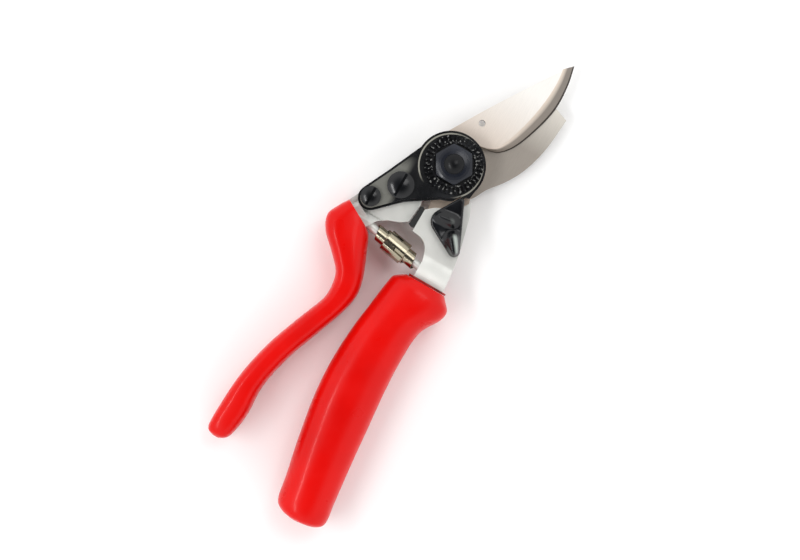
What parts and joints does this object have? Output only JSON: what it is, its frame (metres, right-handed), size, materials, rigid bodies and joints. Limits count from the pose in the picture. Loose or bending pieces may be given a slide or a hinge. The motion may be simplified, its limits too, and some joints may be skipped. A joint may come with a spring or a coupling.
{
  "type": "bypass pruner",
  "caption": "Bypass pruner: hooked counter blade, curved cutting blade, black pivot plate with toothed lock ring, thumb catch, volute spring and a rolling red lower grip.",
  "frame": {"origin": "on the pivot axis, at the back face of the pivot bolt's head, which rests on the table with the two grips", "axes": "+X towards the jaws, +Y towards the fixed handle, +Z along the pivot axis, up from the table"},
  "size_m": [0.21, 0.0632, 0.023],
  "materials": {
    "alloy": "sand-cast, lightly polished",
    "red_grip": "dipped soft vinyl, glossy",
    "blade_steel": "ground",
    "hook_steel": "ground, satin",
    "black_metal": "black oxide and lacquer, semi-gloss",
    "steel": "turned",
    "spring_steel": "bright plated",
    "bronze": "sintered",
    "nylon": "moulded",
    "dark_red": "moulded",
    "rubber": "moulded"
  },
  "bodies": {
    "anvil_side": {"left_handle": "alloy", "left_grip": "red_grip", "counter_blade": "hook_steel", "pivot_plate": "black_metal", "plate_screw_large": "black_metal", "plate_screw_small": "black_metal", "plate_nuts": "steel", "pivot_bolt": "black_metal", "pivot_nut": "black_metal", "lock_ring": "black_metal"},
    "blade_side": {"blade": "blade_steel", "pivot_bush": "bronze", "blade_screws": "steel", "right_arm": "alloy", "bumper": "rubber", "spindle": "steel", "stop_collar": "dark_red", "thrust_washer": "steel", "spindle_nut": "steel", "catch_pin": "steel", "catch_washer": "steel", "volute_spring": "spring_steel"},
    "catch": {"thumb_catch": "black_metal"},
    "rolling_handle": {"roller_core": "alloy", "roller_grip": "red_grip", "front_bush": "nylon", "rear_bush": "nylon"}
  },
  "joints": [
    {"name": "main_pivot", "type": "hinge", "parent": "anvil_side", "child": "blade_side", "pos_m": [0, 0, 0], "axis": [0, 0, 1], "range_deg": [0, 28], "deforming": ["volute_spring"]},
    {"name": "catch_swing", "type": "hinge", "parent": "blade_side", "child": "catch", "pos_m": [-0.0215, -0.0076, 0.0157], "axis": [0, 0, 1], "range_deg": [-34, 0]},
    {"name": "handle_roll", "type": "hinge", "parent": "blade_side", "child": "rolling_handle", "pos_m": [-0.0876, -0.0124, 0.0115], "axis": [1, 0, 0], "range_deg": [-45, 45]}
  ],
  "couplings": [
    {"joint": "catch_swing", "follows": "main_pivot", "ratio": -1.2}
  ]
}
